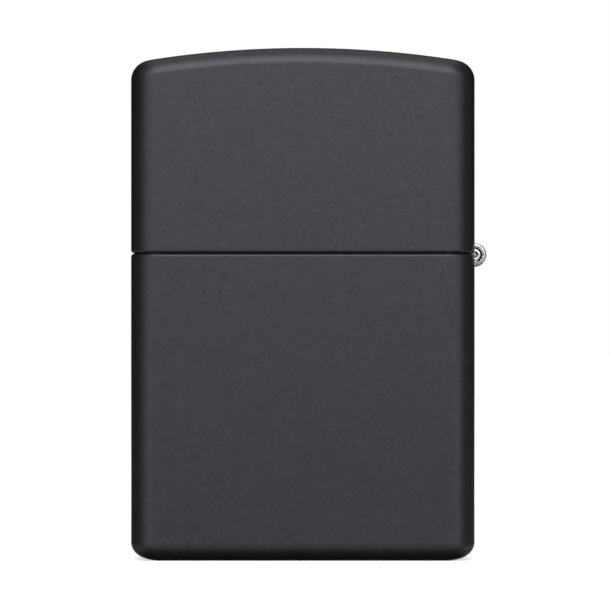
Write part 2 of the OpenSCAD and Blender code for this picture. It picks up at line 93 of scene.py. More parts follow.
# Points nearer than this many metres are one point: in a new mesh, and in a CAD node's.
WELD, CAD_WELD = 1e-7, 2e-6
# A turned solid's profile stops this far short of its axis.
CORE_R = 0.02
ROUND_STEPS = 5


# ---------------------------------------------------------------- mesh helpers

def link(name, mesh):
    """A new object in the scene for a mesh."""
    obj = bpy.data.objects.new(name, mesh)
    bpy.context.scene.collection.objects.link(obj)
    return obj


def object_from(name, verts, faces, material):
    """A mesh object from points in millimetres, its doubles welded and its faces turned outwards."""
    mesh = bpy.data.meshes.new(name)
    mesh.from_pydata([[c * MM for c in v] for v in verts], [], faces)
    mesh.materials.append(MATERIALS[material])
    bm = bmesh.new()
    bm.from_mesh(mesh)
    bmesh.ops.remove_doubles(bm, verts=bm.verts, dist=WELD)
    bmesh.ops.recalc_face_normals(bm, faces=bm.faces)
    bm.to_mesh(mesh)
    bm.free()
    return link(name, mesh)


def applied(obj):
    """The object's mesh as its modifiers leave it, and no modifiers."""
    graph = bpy.context.evaluated_depsgraph_get()
    mesh = bpy.data.meshes.new_from_object(obj.evaluated_get(graph))
    obj.modifiers.clear()
    obj.data = mesh
    return obj


def smooth(obj, sharp=35):
    """Smooth shading with crisp edges, flat faces kept flat."""
    obj.data.shade_smooth()
    obj.data.set_sharp_from_angle(angle=math.radians(sharp))
    weighted = obj.modifiers.new("flats", "WEIGHTED_NORMAL")
    weighted.keep_sharp = True
    return obj


def placed(obj, body, slot, *nodes):
    """Ties a piece to its body and hides the CAD nodes that it stands for; slot is not used."""
    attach(obj, body)
    if nodes:
        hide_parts(*nodes)
    return obj


def joined(name, objects):
    """Several meshes of one material as one piece."""
    bm = bmesh.new()
    for o in objects:
        bm.from_mesh(o.data)
    mesh = bpy.data.meshes.new(name)
    bm.to_mesh(mesh)
    bm.free()
    mesh.materials.append(objects[0].data.materials[0])
    for o in objects:
        bpy.data.objects.remove(o)
    return link(name, mesh)


def cut(obj, *cutters):
    """Takes the cutters away from obj, and drops them."""
    for cutter in cutters:
        mod = obj.modifiers.new("cut", "BOOLEAN")
        mod.operation, mod.solver, mod.object = "DIFFERENCE", "EXACT", cutter
    applied(obj)
    for cutter in cutters:
        bpy.data.objects.remove(cutter)
    return obj


def block(low, high):
    """A box to cut with."""
    verts = [(x, y, z) for x in (low[0], high[0]) for y in (low[1], high[1]) for z in (low[2], high[2])]
    faces = [(0, 1, 3, 2), (4, 6, 7, 5), (0, 4, 5, 1), (2, 3, 7, 6), (0, 2, 6, 4), (1, 5, 7, 3)]
    return object_from("cutter", verts, faces, "coat")


def quarter(steps):
    """Angles from 0 to a right angle."""
    return [math.pi / 2 * i / steps for i in range(steps + 1)]


def skin(rings, closed=False):
    """Points and quads between neighbouring rings of equal length.

    closed joins the last ring to the first."""
    n = len(rings[0])
    verts = [p for ring in rings for p in ring]
    faces = []
    for i in range(len(rings) if closed else len(rings) - 1):
        a, b = i * n, (i + 1) % len(rings) * n
        faces += [(a + k, a + (k + 1) % n, b + (k + 1) % n, b + k) for k in range(n)]
    return verts, faces


def lathe(name, material, profile, centre, axis, steps=48):
    """A closed profile of (radius, distance along the axis) points, turned about Y or Z."""
    rings = []
    for i in range(steps):
        c, s = math.cos(2 * math.pi * i / steps), math.sin(2 * math.pi * i / steps)
        if axis == "y":
            rings.append([(centre[0] + r * c, centre[1] + h, centre[2] + r * s) for r, h in profile])
        else:
            rings.append([(centre[0] + r * c, centre[1] + r * s, centre[2] + h) for r, h in profile])
    verts, faces = skin(rings, closed=True)
    return object_from(name, verts, faces, material)


def inset_outline(points, inset):
    """A closed anticlockwise outline moved inwards by inset."""
    moved = []
    for i, p in enumerate(points):
        a = Vector(p) - Vector(points[i - 1])
        b = Vector(points[(i + 1) % len(points)]) - Vector(p)
        na, nb = Vector((-a.y, a.x)).normalized(), Vector((-b.y, b.x)).normalized()
        shift = (na + nb) * (inset / max(1 + na.dot(nb), 0.3))
        moved.append((p[0] + shift.x, p[1] + shift.y))
    return moved


def rounded(low, high, edge):
    """Pairs of inset and height for a plate from low to high with its rims rounded to edge."""
    levels = [(edge * (1 - math.sin(a)), low + edge * (1 - math.cos(a))) for a in quarter(ROUND_STEPS)]
    return levels + [(inset, low + high - h) for inset, h in reversed(levels)]


def capped(name, material, rings):
    """A skin over rings of equal length with a face across each end."""
    verts, faces = skin(rings)
    n = len(rings[0])
    faces.append(tuple(range(n)))
    faces.append(tuple(range(len(verts) - n, len(verts))))
    return object_from(name, verts, faces, material)


def prism(name, material, points, low, high, edge, axis="y"):
    """A plate on an anticlockwise outline, from low to high along an axis, its rims rounded to edge.

    The outline lies in X-Z for axis y and in Y-Z for axis x."""
    rings = []
    for inset, h in rounded(low, high, edge):
        flat = inset_outline(points, inset)
        rings.append([(u, h, v) if axis == "y" else (h, u, v) for u, v in flat])
    return capped(name, material, rings)


def eased(name, node, material, edge):
    """The CAD node's own shape with its edges rounded off by edge millimetres."""
    flat, crease = math.radians(1), math.radians(28)
    mesh = bpy.data.meshes.new(name)
    bm = bmesh.new()
    bm.from_mesh(frame["nodes"][node].data)
    bmesh.ops.remove_doubles(bm, verts=bm.verts, dist=CAD_WELD)
    bmesh.ops.dissolve_limit(bm, angle_limit=flat, verts=bm.verts, edges=bm.edges)
    bmesh.ops.recalc_face_normals(bm, faces=bm.faces)
    rims = [e for e in bm.edges if e.is_manifold and e.calc_face_angle(0) > crease]
    bmesh.ops.bevel(bm, geom=rims, offset=edge * MM, segments=2, profile=0.5, affect="EDGES",
                    clamp_overlap=True)
    bm.to_mesh(mesh)
    bm.free()
    mesh.materials.append(MATERIALS[material])
    return smooth(link(name, mesh))


# ---------------------------------------------------------------- materials

# Nearly all of a noise texture's values lie between these.
NOISE_LOW, NOISE_HIGH = 0.3, 0.7


def new_material(name, color, metallic, roughness, **sockets):
    """A Principled material whose constant values sit on the shader's own sockets."""
    mat = bpy.data.materials.new(name)
    mat.use_nodes = True
    shader = mat.node_tree.nodes["Principled BSDF"]
    shader.inputs["Base Color"].default_value = (*color, 1)
    shader.inputs["Metallic"].default_value = metallic
    shader.inputs["Roughness"].default_value = roughness
    for socket, value in sockets.items():
        shader.inputs[socket.replace("_", " ")].default_value = value
    return mat


def noise_field(mat, scale, stretch=(1, 1, 1), detail=2.0, rough=0.5):
    """Noise over the piece's own coordinates; scale is in features per metre."""
    nodes, links = mat.node_tree.nodes, mat.node_tree.links
    coords = nodes.new("ShaderNodeTexCoord")
    mapping = nodes.new("ShaderNodeMapping")
    mapping.inputs["Scale"].default_value = stretch
    field = nodes.new("ShaderNodeTexNoise")
    field.inputs["Scale"].default_value = scale
    field.inputs["Detail"].default_value = detail
    field.inputs["Roughness"].default_value = rough
    links.new(coords.outputs["Object"], mapping.inputs["Vector"])
    links.new(mapping.outputs["Vector"], field.inputs["Vector"])
    return field.outputs["Fac"]


def plugged(mat, output, socket):
    """Links a node's output to one of the shader's sockets."""
    mat.node_tree.links.new(output, mat.node_tree.nodes["Principled BSDF"].inputs[socket])


def tinted(mat, value, dark, light):
    """Base colour between dark and light by a noise value."""
    ramp = mat.node_tree.nodes.new("ShaderNodeValToRGB")
    first, last = ramp.color_ramp.elements
    first.position, first.color = NOISE_LOW, (*dark, 1)
    last.position, last.color = NOISE_HIGH, (*light, 1)
    mat.node_tree.links.new(value, ramp.inputs["Fac"])
    plugged(mat, ramp.outputs["Color"], "Base Color")


def varied(mat, socket, value, low, high):
    """One of the shader's sockets between low and high by a noise value."""
    spread = mat.node_tree.nodes.new("ShaderNodeMapRange")
    spread.inputs["From Min"].default_value = NOISE_LOW
    spread.inputs["From Max"].default_value = NOISE_HIGH
    spread.inputs["To Min"].default_value = low
    spread.inputs["To Max"].default_value = high
    mat.node_tree.links.new(value, spread.inputs["Value"])
    plugged(mat, spread.outputs["Result"], socket)


def roughened(mat, value, low, high):
    """Roughness between low and high by a noise value."""
    varied(mat, "Roughness", value, low, high)


def bumped(mat, height, strength, depth_mm):
    """Relief from a height value, depth_mm deep at full height."""
    bump = mat.node_tree.nodes.new("ShaderNodeBump")
    bump.inputs["Strength"].default_value = strength
    bump.inputs["Distance"].default_value = depth_mm * MM
    mat.node_tree.links.new(height, bump.inputs["Height"])
    plugged(mat, bump.outputs["Normal"], "Normal")


def coat_material():
    """Powder coat: matte black with cool reflections and a grain that catches and loses the light."""
    mat = new_material("coat", (0.0065, 0.0065, 0.0068), 0.0, 0.43, IOR=1.5, Specular_IOR_Level=0.57,
                       Specular_Tint=(0.85, 0.856, 1.0, 1))
    tinted(mat, noise_field(mat, 900, detail=4), (0.0050, 0.0052, 0.0054), (0.0080, 0.0078, 0.0082))
    roughened(mat, noise_field(mat, 150, detail=6, rough=0.7), 0.41, 0.45)
    grain = noise_field(mat, 2400, detail=5, rough=0.85)
    varied(mat, "Specular IOR Level", grain, 0.44, 0.71)
    bumped(mat, grain, 0.4, 0.010)
    return mat


def nickel_material():
    """Bright plating, faintly scuffed by handling."""
    mat = new_material("nickel", (0.56, 0.55, 0.54), 1.0, 0.28, Specular_Tint=(0.4, 0.4, 0.4, 1))
    tinted(mat, noise_field(mat, 3500, detail=4), (0.46, 0.45, 0.44), (0.64, 0.63, 0.62))
    roughened(mat, noise_field(mat, 1500, detail=4), 0.22, 0.34)
    bumped(mat, noise_field(mat, 4000, detail=3), 0.10, 0.003)
    return mat


def steel_material():
    """Rolled stainless sheet with fine upright drawing lines."""
    mat = new_material("steel", (0.62, 0.62, 0.61), 1.0, 0.3)
    tinted(mat, noise_field(mat, 260, detail=4), (0.55, 0.55, 0.54), (0.68, 0.68, 0.67))
    lines = noise_field(mat, 5000, stretch=(1, 1, 0.02), detail=3, rough=0.6)
    roughened(mat, lines, 0.27, 0.39)
    bumped(mat, lines, 0.06, 0.003)
    return mat


def dark_steel_material():
    """Hardened tool steel, darker and a little mottled by the quench."""
    mat = new_material("dark_steel", (0.33, 0.32, 0.31), 1.0, 0.34)
    tinted(mat, noise_field(mat, 900, detail=5), (0.24, 0.235, 0.23), (0.42, 0.41, 0.40))
    roughened(mat, noise_field(mat, 3000, detail=3), 0.26, 0.45)
    bumped(mat, noise_field(mat, 7000, detail=3), 0.2, 0.004)
    return mat


def brass_material():
    """Turned brass, a little dulled."""
    mat = new_material("brass", (0.72, 0.52, 0.24), 1.0, 0.28)
    tinted(mat, noise_field(mat, 700, detail=4), (0.60, 0.42, 0.19), (0.78, 0.58, 0.28))
    roughened(mat, noise_field(mat, 6000, stretch=(0.1, 0.1, 1)), 0.2, 0.4)
    return mat


def ferro_material():
    """The flint's grey alloy, finely granular."""
    mat = new_material("ferro", (0.12, 0.115, 0.11), 0.6, 0.6)
    tinted(mat, noise_field(mat, 4000, detail=5), (0.08, 0.078, 0.075), (0.17, 0.165, 0.16))
    bumped(mat, noise_field(mat, 6000, detail=4), 0.5, 0.02)
    return mat


def fibre_material(name, dark, light, scale, depth_mm):
    """Cotton or felt: tangled fibres with a soft sheen."""
    mat = new_material(name, light, 0.0, 0.9, Sheen_Weight=0.4, Sheen_Roughness=0.5)
    tangle = noise_field(mat, scale, detail=6, rough=0.7)
    tinted(mat, tangle, dark, light)
    bumped(mat, tangle, 0.7, depth_mm)
    return mat


MATERIALS = {
    "coat": coat_material(),
    "nickel": nickel_material(),
    "steel": steel_material(),
    "dark_steel": dark_steel_material(),
    "brass": brass_material(),
    "ferro": ferro_material(),
    "cotton": fibre_material("cotton", (0.66, 0.62, 0.54), (0.87, 0.84, 0.77), 2500, 0.12),
    "wick": fibre_material("wick", (0.56, 0.50, 0.39), (0.83, 0.78, 0.67), 4500, 0.06),
    "felt": fibre_material("felt", (0.52, 0.49, 0.43), (0.72, 0.69, 0.62), 3500, 0.10),
}


# ---------------------------------------------------------------- outer case

WALL = 0.7
# Radii of the upright corners, of the crown's camber and of the lid's top edge.
CORNER = 3.1
CROWN = 110.0
TOP_EDGE = 1.8
# The rounded bottom edge, and the base's flat land and pressed panel inside it.
BASE_EDGE_X, BASE_EDGE_Y, BASE_EDGE_Z = 2.7, 2.0, 2.0
BASE_LAND = 0.8
BASE_PANEL = 0.35
BASE_SLOPE = 0.9
# Rounding of the sheet's edge at the seam, outside and inside.
RIM_ROUND_OUT, RIM_ROUND_IN = 0.34, 0.05
SIDE_POINTS, CORNER_STEPS, FACE_STEPS = 6, 14, 28
SHARPEST = 0.35


def outline(inset_x, inset_y):
    """The case's outline pulled in by two insets: points k and n - 1 - k lie opposite each other."""
    rx, ry = max(CORNER - inset_x, SHARPEST), max(CORNER - inset_y, SHARPEST)
    cx, cy = HALF_W - inset_x - rx, HALF_D - inset_y - ry
    side = [cy * (i + 0.5) / SIDE_POINTS for i in range(SIDE_POINTS)]
    half = [(cx + rx, y) for y in side]
    half += [(cx + rx * math.cos(a), cy + ry * math.sin(a)) for a in quarter(CORNER_STEPS)]
    half += [(cx * (1 - 2 * i / FACE_STEPS), cy + ry) for i in range(1, FACE_STEPS)]
    half += [(-cx - rx * math.sin(a), cy + ry * math.cos(a)) for a in quarter(CORNER_STEPS)]
    half += [(-cx - rx, y) for y in reversed(side)]
    return half + [(x, -y) for x, y in reversed(half)]


def at_height(ring, z):
    return [(x, y, z) for x, y in ring]


def cap(first, n):
    """Faces across a ring, from front to back, with one face over each straight end."""
    m = SIDE_POINTS + 1
    half, last = n // 2, first + n - 1
    faces = [tuple(range(first, first + m + 1)) + tuple(range(last - m, last + 1))]
    faces += [(first + k, first + k + 1, last - k - 1, last - k) for k in range(m, half - 1 - m)]
    faces.append(tuple(range(first + half - 1 - m, first + half + m + 1)))
    return faces


def shell(name, rings):
    """A closed skin of coated sheet, capped at its first and last ring."""
    verts, faces = skin(rings)
    n = len(rings[0])
    faces += cap(0, n) + cap((len(rings) - 1) * n, n)
    return object_from(name, verts, faces, "coat")


def rim_rings(rim, side):
    """Rings over the rounded rim, from outside to inside.

    side is 1 for a rim facing up and -1 for one facing down."""
    rings = []
    for a in quarter(ROUND_STEPS):
        inset = RIM_ROUND_OUT * (1 - math.cos(a))
        rings.append(at_height(outline(inset, inset), rim - side * RIM_ROUND_OUT * (1 - math.sin(a))))
    for a in reversed(quarter(3)):
        inset = WALL - RIM_ROUND_IN * (1 - math.cos(a))
        rings.append(at_height(outline(inset, inset), rim - side * RIM_ROUND_IN * (1 - math.sin(a))))
    return rings


def base_rings():
    """Rings from the pressed panel's middle over the flat land and up the rounded bottom edge."""
    rings = []
    steps = 6
    for t in [1 - i / steps for i in range(steps + 1)]:
        rise = BASE_PANEL * t * t * (3 - 2 * t)
        reach = BASE_LAND + BASE_SLOPE * t
        rings.append(at_height(outline(BASE_EDGE_X + reach, BASE_EDGE_Y + reach), rise))
    for a in quarter(CORNER_STEPS):
        ring = outline(BASE_EDGE_X * (1 - math.sin(a)), BASE_EDGE_Y * (1 - math.sin(a)))
        rings.append(at_height(ring, BASE_EDGE_Z * (1 - math.cos(a))))
    return rings


def floor_rings():
    """Rings down the inside wall and round onto the floor."""
    rings = []
    for a in quarter(8):
        turn = 1 - math.cos(a)
        ring = outline(WALL + (BASE_EDGE_X - WALL) * turn, WALL + (BASE_EDGE_Y - WALL) * turn)
        rings.append(at_height(ring, WALL + BASE_PANEL + (BASE_EDGE_Z - WALL) * (1 - math.sin(a))))
    return rings


def rolled_ring(angle, depth):
    """A ring of the lid's rolled top edge, for a skin lying depth under the outside."""
    roll = TOP_EDGE - depth
    radius = CROWN - depth
    inset = depth + roll * (1 - math.cos(angle))
    drop = lid_high.z - CROWN - roll * (1 - math.sin(angle))
    return [(x, y, drop + math.sqrt(radius * radius - x * x)) for x, y in outline(inset, inset)]


# ---------------------------------------------------------------- hinge

HINGE_X, _, HINGE_Z = (c / MM for c in joints["lid_hinge"]["pos_m"])
leaf_low, leaf_high = box_mm("hinge_leaf_lower")
_, lip_high = box_mm("hinge_leaf_upper")
pin_low, pin_high = box_mm("hinge_pin")
KNUCKLE_R = leaf_high.x - HINGE_X
BORE_R = 0.80
NOTCH_R = KNUCKLE_R + 0.05
KNUCKLES = 5
KNUCKLE_GAP = 0.08
PIN_PROUD = 0.05
HINGE_HALF = pin_high.y - PIN_PROUD
LEAF_X0, LEAF_X1 = HINGE_X - KNUCKLE_R, HALF_W - WALL
LEAF_HALF = leaf_high.y
LEAF_EDGE = 0.08
KNUCKLE_EDGE, BORE_EDGE = 0.24, 0.06
CURL_END = math.radians(-118)


def hinge_notch(z0, z1):
    """The gap that both walls leave for the row of knuckles."""
    half = HINGE_HALF + 0.1
    inside, outside = LEAF_X1 - 0.4, HALF_W + 2
    return block((inside, -half, z0), (outside, half, z1))


def curled_sheet(side, inset):
    """Section of a leaf's end as it runs to the hinge and curls over the pin, in X-Z.

    side is -1 for the lower leaf, which comes up to the pin, and 1 for the upper one. The curl is
    pulled in by inset on the outside, and by no more than the bore's own small rounding within."""
    steps = 40
    angles = [math.pi + (CURL_END - math.pi) * i / steps for i in range(steps + 1)]
    overlap = 0.3
    root = NOTCH_R + overlap
    outer, bore = KNUCKLE_R - inset, BORE_R + min(inset, BORE_EDGE)
    path = [(LEAF_X0, -root)] + [(HINGE_X + outer * math.cos(a), outer * math.sin(a)) for a in angles]
    path += [(HINGE_X + bore * math.cos(a), bore * math.sin(a)) for a in reversed(angles)]
    path[-1] = (LEAF_X1, 0.05)
    path.append((LEAF_X1, -root))
    if side < 0:
        return [(x, HINGE_Z + z) for x, z in reversed(path)]
    return [(x, HINGE_Z - z) for x, z in path]


def knuckles(side, numbers):
    """The rolled knuckles of one leaf, each with its rims well rounded."""
    pitch = 2 * HINGE_HALF / KNUCKLES
    pieces = []
    for i in numbers:
        y0 = -HINGE_HALF + i * pitch + KNUCKLE_GAP / 2
        y1 = y0 + pitch - KNUCKLE_GAP
        rings = []
        for inset, y in rounded(y0, y1, KNUCKLE_EDGE):
            rings.append([(x, y, z) for x, z in curled_sheet(side, inset)])
        pieces.append(capped("knuckle", "nickel", rings))
    return pieces


def leaf_plate(z0, z1):
    """The flat part of a leaf, which lies on the inside of the wall."""
    radius = 0.6
    y, low, high = LEAF_HALF - radius, z0 + radius, z1 - radius
    corners = [(y, low, -math.pi / 2), (y, high, 0), (-y, high, math.pi / 2), (-y, low, math.pi)]
    ring = [(y + radius * math.cos(turn + a), z + radius * math.sin(turn + a))
            for y, z, turn in corners for a in quarter(ROUND_STEPS)]
    return prism("leaf", "nickel", ring, LEAF_X0, LEAF_X1, LEAF_EDGE, "x")


def strip_outline(path, t):
    """Anticlockwise outline of a strip of thickness t along an open path."""
    left, right = [], []
    for i, p in enumerate(path):
        a = Vector(p) - Vector(path[i - 1]) if i else Vector(path[1]) - Vector(p)
        b = Vector(path[i + 1]) - Vector(p) if i < len(path) - 1 else a
        na, nb = Vector((-a.y, a.x)).normalized(), Vector((-b.y, b.x)).normalized()
        shift = (na + nb) * (t / 2 / (1 + na.dot(nb)))
        left.append((p[0] + shift.x, p[1] + shift.y))
        right.append((p[0] - shift.x, p[1] - shift.y))
    return right + left[::-1]


def lip():
    """The tongue bent inwards from the upper leaf's end, which the cam bears on."""
    thick, bend, half_width = 0.5, 0.9, 1.6
    overlap, straight, reach, drop = 0.3, 0.2, 1.5, 1.75
    top = lip_high.z - thick / 2
    arc = [math.radians(90 + 10 * i) for i in range(7)]
    path = [(LEAF_X0 + overlap, top)]
    path += [(LEAF_X0 - straight + bend * math.cos(a), top - bend + bend * math.sin(a)) for a in arc]
    path.append((LEAF_X0 - reach, top - drop))
    return prism("lip", "nickel", strip_outline(path, thick), -half_width, half_width, LEAF_EDGE)


def pin_profile():
    """Half section of the pin, its ends drawn in a little and drilled where they were staked."""
    end, radius = pin_high.y, (pin_high.x - pin_low.x) / 2
    drilled = end - 0.45
    rim = [(CORE_R, drilled), (0.22, drilled), (0.28, end - 0.12), (0.34, end - 0.03), (0.39, end),
           (0.57, end), (0.63, end - 0.03), (0.66, end - 0.09), (radius, end - 0.3)]
    return rim + [(r, -h) for r, h in reversed(rim)]


# ---------------------------------------------------------------- insert

tube_low, tube_high = box_mm("flint_tube")
spring_low, spring_high = box_mm("flint_spring")
wheel_low, wheel_high = box_mm("flint_wheel")
FLINT_X = (tube_low.x + tube_high.x) / 2
WHEEL_X, _, WHEEL_Z = (c / MM for c in joints["wheel_spin"]["pos_m"])
WHEEL_R = (wheel_high.x - wheel_low.x) / 2
WHEEL_HALF = wheel_high.y
TEETH = 44
TOOTH_DEPTH = 0.28


def wheel_ring(y, tip, root, twist):
    """A ring of saw teeth; twist turns it by that many teeth."""
    worn = 0.02
    points = []
    for i in range(TEETH):
        for share, r in ((0.0, tip), (0.12, tip - worn), (0.42, root), (0.55, root)):
            a = 2 * math.pi * (i + share + twist) / TEETH
            points.append((WHEEL_X + r * math.cos(a), y, WHEEL_Z + r * math.sin(a)))
    return points


def flint_wheel():
    """The striker wheel: two knurled thumb bands beside a finer, slanted file band."""
    root = WHEEL_R - TOOTH_DEPTH
    neck, bore = root - 0.16, 0.86
    dish, hub = root - 0.7, bore + 0.5
    # Depth below the wheel's end, radius at the teeth's tips and roots, and slant in teeth.
    half = [(1.35, root + 0.16, root, 0.5), (1.30, neck, neck, 0.5), (1.18, neck, neck, 0.0),
            (1.08, root + 0.14, root - 0.02, 0.0), (0.96, WHEEL_R, root, 0.0), (0.16, WHEEL_R, root, 0.0),
            (0.0, WHEEL_R - 0.2, root - 0.1, 0.0), (0.0, root - 0.5, root - 0.5, 0.0),
            (0.12, dish, dish, 0.0), (0.12, hub, hub, 0.0),
            (0.0, bore + 0.35, bore + 0.35, 0.0), (0.0, bore, bore, 0.0)]
    rings = [wheel_ring(depth - WHEEL_HALF, tip, low, -twist) for depth, tip, low, twist in reversed(half)]
    rings += [wheel_ring(WHEEL_HALF - depth, tip, low, twist) for depth, tip, low, twist in half]
    verts, faces = skin(rings, closed=True)
    return smooth(object_from("flint_wheel_filed", verts, faces, "dark_steel"), 25)


def rivet(name, node, axis_x, axis_z, shaft):
    """A rivet through two ears, its heads domed."""
    low, high = box_mm(node)
    head, end = (high.x - low.x) / 2, high.y
    under = end - 0.4
    rim = [(CORE_R, end), (head * 0.45, end - 0.02), (head * 0.8, end - 0.11), (head * 0.96, end - 0.22),
           (head, end - 0.30), (head, under + 0.02), (head - 0.02, under), (shaft, under)]
    profile = rim + [(r, -h) for r, h in reversed(rim)]
    return smooth(lathe(name, "nickel", profile, (axis_x, 0, axis_z), "y", 40))


def tube_along(centres, radius, sides):
    """Rings of a round wire along a list of points, turned with the path and never twisted."""
    rings = []
    normal = None
    for i, p in enumerate(centres):
        ahead = (centres[min(i + 1, len(centres) - 1)] - centres[max(i - 1, 0)]).normalized()
        if normal is None:
            normal = ahead.orthogonal().normalized()
        normal = (normal - ahead * normal.dot(ahead)).normalized()
        across = ahead.cross(normal)
        ring = []
        for k in range(sides):
            a = 2 * math.pi * k / sides
            ring.append(tuple(p + (normal * math.cos(a) + across * math.sin(a)) * radius))
        rings.append(ring)
    return rings


def wire(name, material, centres, radius, sides):
    """A round wire along a list of points, with closed ends."""
    return capped(name, material, tube_along(centres, radius, sides))


def flint_spring():
    """The long spring under the flint, its last coils closed up at both ends."""
    radius, turns, per_turn = 0.175, 15, 32
    coil = (spring_high.x - spring_low.x) / 2 - radius
    bottom, top = spring_low.z + radius, spring_high.z - radius
    closed = 0.36
    centres = []
    for i in range(turns * per_turn + 1):
        turn = i / per_turn
        if turn < 1:
            z = bottom + closed * turn
        elif turn > turns - 1:
            z = top - closed * (turns - turn)
        else:
            z = bottom + closed + (top - bottom - 2 * closed) * (turn - 1) / (turns - 2)
        a = 2 * math.pi * turn
        centres.append(Vector((FLINT_X + coil * math.cos(a), coil * math.sin(a), z)))
    return wire("flint_spring_coil", "dark_steel", centres, radius, 10)


def flint_rod():
    """The flint, a little rod with its rims worn round, the size of its CAD node."""
    low, high = box_mm("flint")
    r, edge = (high.x - low.x) / 2, 0.18
    rim = [(CORE_R, 0)] + [(r - edge * (1 - math.sin(a)), edge * (1 - math.cos(a))) for a in quarter(4)]
    profile = [(x, low.z + h) for x, h in rim] + [(x, high.z - h) for x, h in reversed(rim)]
    return smooth(lathe("flint_rod", "ferro", profile, (FLINT_X, 0, 0), "z"))


def spring_tip():
    """The spring's brass plunger, with a stub that centres the spring."""
    low, high = box_mm("flint_spring_tip")
    r, stub, shoulder = (high.x - low.x) / 2, 0.6, high.z - 1.4
    profile = [(CORE_R, low.z), (stub - 0.15, low.z), (stub, low.z + 0.2), (stub, shoulder),
               (r - 0.12, shoulder), (r, shoulder + 0.12), (r, high.z - 0.25), (r - 0.08, high.z - 0.08),
               (r - 0.25, high.z), (CORE_R, high.z)]
    return smooth(lathe("flint_spring_plunger", "brass", profile, (FLINT_X, 0, 0), "z"))


# ---------------------------------------------------------------- wick and packing

wick_low, wick_high = box_mm("wick")
layer_low = [box_mm("packing_%d" % i)[0].z for i in range(1, 5)]
WICK_X = 0.5
WICK_R = 1.5
WICK_BEND = 2.0
STRANDS = 8
STRAND_R = 0.48
# Length of wick in which a strand goes once round it.
LAY = 7.5


def wick_route():
    """Points along the wick's middle, every quarter of a millimetre: down, then to and fro in layers."""
    tip = Vector((WICK_X, 0, wick_high.z))
    left, right = wick_low.x + WICK_R, wick_high.x - WICK_R
    corners = [tip, Vector((WICK_X, 0, layer_low[0]))]
    for i, z in enumerate(layer_low):
        side = right if i % 2 == 0 else left
        corners += [Vector((side, 0, z))]
        if i < len(layer_low) - 1:
            corners += [Vector((side, 0, layer_low[i + 1]))]
    route = [tip]
    for before, here, after in zip(corners, corners[1:], corners[2:]):
        came, goes = (here - before).normalized(), (after - here).normalized()
        centre = here + (goes - came) * WICK_BEND
        for a in quarter(8):
            route.append(centre + came * (WICK_BEND * math.sin(a)) - goes * (WICK_BEND * math.cos(a)))
    route.append(corners[-1])
    return evenly(route, 0.25)


def evenly(points, step):
    """A polyline's points respaced by about step."""
    out = [points[0]]
    for p, q in zip(points, points[1:]):
        length = (q - p).length
        n = max(int(round(length / step)), 1)
        out += [p.lerp(q, (i + 1) / n) for i in range(n)]
    return out


def wick():
    """A plaited cotton wick: strands that cross over and under around its core."""
    route = wick_route()
    reach, sunk, swing = WICK_R - STRAND_R - 0.04, 0.08, 0.10
    run = [0.0]
    for p, q in zip(route, route[1:]):
        run.append(run[-1] + (q - p).length)
    pieces = [wire("core", "wick", route, reach, 12)]
    for s in range(STRANDS):
        way = 1 if s % 2 else -1
        centres = []
        for i, p in enumerate(route):
            ahead = (route[min(i + 1, len(route) - 1)] - route[max(i - 1, 0)]).normalized()
            across = Vector((0, 1, 0))
            up = ahead.cross(across)
            a = 2 * math.pi * (way * run[i] / LAY + s / STRANDS)
            weave = swing * math.sin(STRANDS / 2 * a) * way
            centres.append(p + (across * math.cos(a) + up * math.sin(a)) * (reach + weave - sunk))
        pieces.append(wire("strand", "wick", centres, STRAND_R, 7))
    return joined("wick_plaited", pieces)


def lumpy(name, node, material, voxel, dent, size):
    """A soft pad from its CAD solid: remeshed, and dented inwards by noise of that feature size."""
    mesh = bpy.data.meshes.new(name)
    bm = bmesh.new()
    bm.from_mesh(frame["nodes"][node].data)
    bmesh.ops.remove_doubles(bm, verts=bm.verts, dist=CAD_WELD)
    bm.to_mesh(mesh)
    bm.free()
    obj = link(name, mesh)
    remesh = obj.modifiers.new("voxels", "REMESH")
    remesh.mode, remesh.voxel_size = "VOXEL", voxel * MM
    ease = obj.modifiers.new("ease", "SMOOTH")
    ease.factor, ease.iterations = 0.5, 4
    applied(obj)
    for v, normal in [(v, v.normal.copy()) for v in obj.data.vertices]:
        bulk = noise.noise(v.co / (size * MM))
        fine = noise.noise(v.co / (size * 0.3 * MM))
        v.co -= normal * (dent * MM * (0.55 + 0.6 * bulk + 0.25 * fine))
    obj.data.shade_smooth()
    obj.data.materials.append(MATERIALS[material])
    return obj


# ---------------------------------------------------------------- pieces on their bodies

def build_case():
    """The lower case, the lid and the hinge between them."""
    lower = shell("lower_case_shell", base_rings() + rim_rings(RIM_LOW, 1) + floor_rings())
    past = 1
    cut(lower, hinge_notch(HINGE_Z - NOTCH_R, SEAM + past))
    placed(smooth(lower), "case", "coat", "case_bottom")
    crown = [rolled_ring(a, 0.0) for a in reversed(quarter(CORNER_STEPS))]
    ceiling = [rolled_ring(a, WALL) for a in quarter(8)]
    upper = shell("lid_shell", crown + rim_rings(RIM_HIGH, -1) + ceiling)
    cut(upper, hinge_notch(SEAM - past, HINGE_Z + NOTCH_R))
    placed(smooth(upper), "lid", "coat", "case_lid")
    low_leaf = knuckles(-1, (0, 2, 4)) + [leaf_plate(leaf_low.z, HINGE_Z - NOTCH_R)]
    placed(smooth(joined("hinge_lower", low_leaf)), "case", "nickel", "hinge_leaf_lower")
    high_leaf = knuckles(1, (1, 3)) + [leaf_plate(HINGE_Z + NOTCH_R, lip_high.z), lip()]
    placed(smooth(joined("hinge_upper", high_leaf)), "lid", "nickel", "hinge_leaf_upper")
    pin = lathe("hinge_pin_staked", "nickel", pin_profile(), (HINGE_X, 0, HINGE_Z), "y", 40)
    placed(smooth(pin), "case", "nickel", "hinge_pin")


